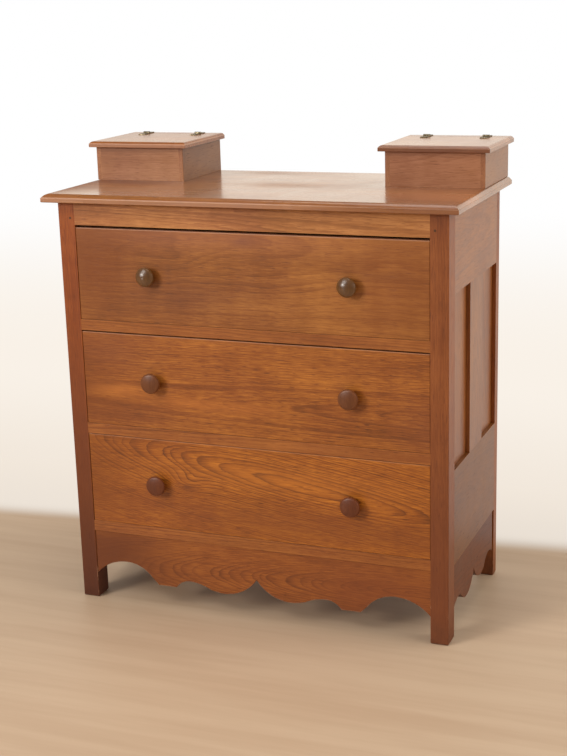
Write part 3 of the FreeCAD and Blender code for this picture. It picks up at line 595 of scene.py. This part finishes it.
# The width of the floor, the line on it where the white begins, and how far off all of it is white
FLOOR_REACH = 40.0
WALL_AT = 0.3435
WALL_SLOPE = 0.12
FAR_FROM = (1.6, 4.5)


def ray_kinds(net):
    """1 for rays from the camera, and 1 for rays in reflections."""
    path = net.node("LightPath").outputs
    mirror = net.math("MAXIMUM", path["Is Glossy Ray"], path["Is Transmission Ray"])
    return path["Is Camera Ray"], mirror


def stage_floor():
    mesh = bpy.data.meshes.new("floor")
    half = FLOOR_REACH / 2
    mesh.from_pydata([(-half, -half, 0), (half, -half, 0), (half, half, 0), (-half, half, 0)], [],
                     [(0, 1, 2, 3)])
    floor = bpy.data.objects.new("floor", mesh)
    bpy.context.scene.collection.objects.link(floor)
    material, net, own = new_material("floor")
    place = own["Object"]
    x, y = net.split(place)[:2]
    behind = net.math("SUBTRACT", y, net.math("MULTIPLY_ADD", x, WALL_SLOPE, WALL_AT))
    white = net.step(behind, -0.02, 0.1)
    grain = net.noise(place, (1.2, 14.0, 1.0), 3.0, 4.0, 0.6)
    oak = net.mix(net.step(grain, 0.3, 0.7), *OAK_TONES)
    tint = net.mix(white, oak, WALL_FLOOR)
    rough = net.math("MULTIPLY_ADD", white, 0.3, 0.5)
    shader = net.node("BsdfPrincipled", Base_Color=tint, Roughness=rough)
    camera_ray, mirror = ray_kinds(net)
    wall = net.mix(net.step(behind, 0.0, 1.6), *WALL_TONES)
    wall = net.mix(net.step(behind, 1.6, 6.0), wall, WHITE)
    lit = net.mix(mirror, net.step(behind, -0.02, 0.5, 0.75, 1.0),
                  net.step(behind, 0.0, 2.4, 0.12, 0.9))
    glow = net.node("Emission", Color=net.mix(mirror, wall, WALL_WARM), Strength=1.0)
    near = net.math("MULTIPLY", net.math("MAXIMUM", camera_ray, mirror), white)
    near = net.math("MULTIPLY", near, lit)
    far = net.step(net.math("SQRT", net.total((x, x), (y, y))), *FAR_FROM)
    blend = net.node("MixShader")
    share = net.math("MAXIMUM", near, net.math("MULTIPLY", far, camera_ray))
    net.put_all(blend.inputs, (share, shader.outputs[0], glow.outputs[0]))
    net.node("OutputMaterial", Surface=blend.outputs[0])
    mesh.materials.append(material)


# How bright the air is as light, and in reflections in front of the chest and behind it
SOFT_LIGHT = 0.4
FRONT_MIRRORED = 0.25
WALL_MIRRORED = 1.1


def studio_world():
    """Soft light all round, white to the camera, with a warm wall behind the chest in mirrors."""
    world = bpy.data.worlds.new("studio")
    bpy.context.scene.world = world
    world.use_nodes = True
    world.node_tree.nodes.clear()
    net = Net(world.node_tree)
    x, y, z = net.split(net.node("TexCoord").outputs["Generated"])
    camera_ray, mirror = ray_kinds(net)
    behind = net.step(net.total(y, (x, 0.5)), -0.3, 0.25)
    low = net.step(z, 0.6, 0.35)
    reflected = net.math("MULTIPLY_ADD", net.math("MULTIPLY", behind, low),
                         WALL_MIRRORED - FRONT_MIRRORED, FRONT_MIRRORED)
    gap = net.math("SUBTRACT", reflected, SOFT_LIGHT)
    level = net.math("MULTIPLY_ADD", mirror, gap, SOFT_LIGHT)
    level = net.math("MAXIMUM", level, camera_ray)
    tint = net.mix(net.math("MULTIPLY", mirror, behind), WARM, WALL_WARM)
    tint = net.mix(camera_ray, tint, WHITE)
    sky = net.node("Background", Color=tint, Strength=level)
    net.node("OutputWorld", Surface=sky.outputs[0])


LAMP_TINT = (1.0, 0.97, 0.93)


def lamp(name, place, aim, size, power, mirrored=True):
    light = bpy.data.lights.new(name, "AREA")
    light.shape = "RECTANGLE"
    light.size, light.size_y = size
    light.energy = power
    light.color = LAMP_TINT
    obj = bpy.data.objects.new(name, light)
    bpy.context.scene.collection.objects.link(obj)
    obj.location = place
    obj.rotation_euler = (Vector(aim) - Vector(place)).to_track_quat("-Z", "Y").to_euler()
    obj.visible_glossy = mirrored


stage_floor()
studio_world()
lamp("key", (-2.5, -3.8, 2.2), (0.0, 0.0, 0.6), (1.2, 1.0), 93.0)
lamp("fill", (-1.4, -2.7, 3.6), (0.0, -0.2, 0.6), (1.9, 1.4), 46.0)
lamp("side", (3.4, 0.1, 2.4), (0.4, 0.0, 0.8), (3.0, 2.6), 68.0, mirrored=False)
lamp("above", (0.2, 0.2, 3.6), (0.0, 0.0, 1.0), (2.4, 1.8), 26.0)

# Camera, solved from the photograph without lens distortion
SENSOR_WIDTH = 36.0
FOCAL_LENGTH = 68.73
SIGHT = 60.0
CAMERA_AT = (1.2368, -3.0691, 1.4271)
CAMERA_TURN = ((0.9298, -0.0707, 0.3611), (0.3669, 0.2534, -0.8951), (-0.0282, 0.9648, 0.2615))
lens = bpy.data.cameras.new("camera")
lens.sensor_fit = "AUTO"
lens.sensor_width = SENSOR_WIDTH
lens.lens = FOCAL_LENGTH
lens.clip_end = SIGHT
camera = bpy.data.objects.new("camera", lens)
bpy.context.scene.collection.objects.link(camera)
turn = Matrix(CAMERA_TURN).to_quaternion().to_matrix().to_4x4()
camera.matrix_world = Matrix.Translation(CAMERA_AT) @ turn
bpy.context.scene.camera = camera

bpy.context.scene.view_settings.view_transform = "Standard"
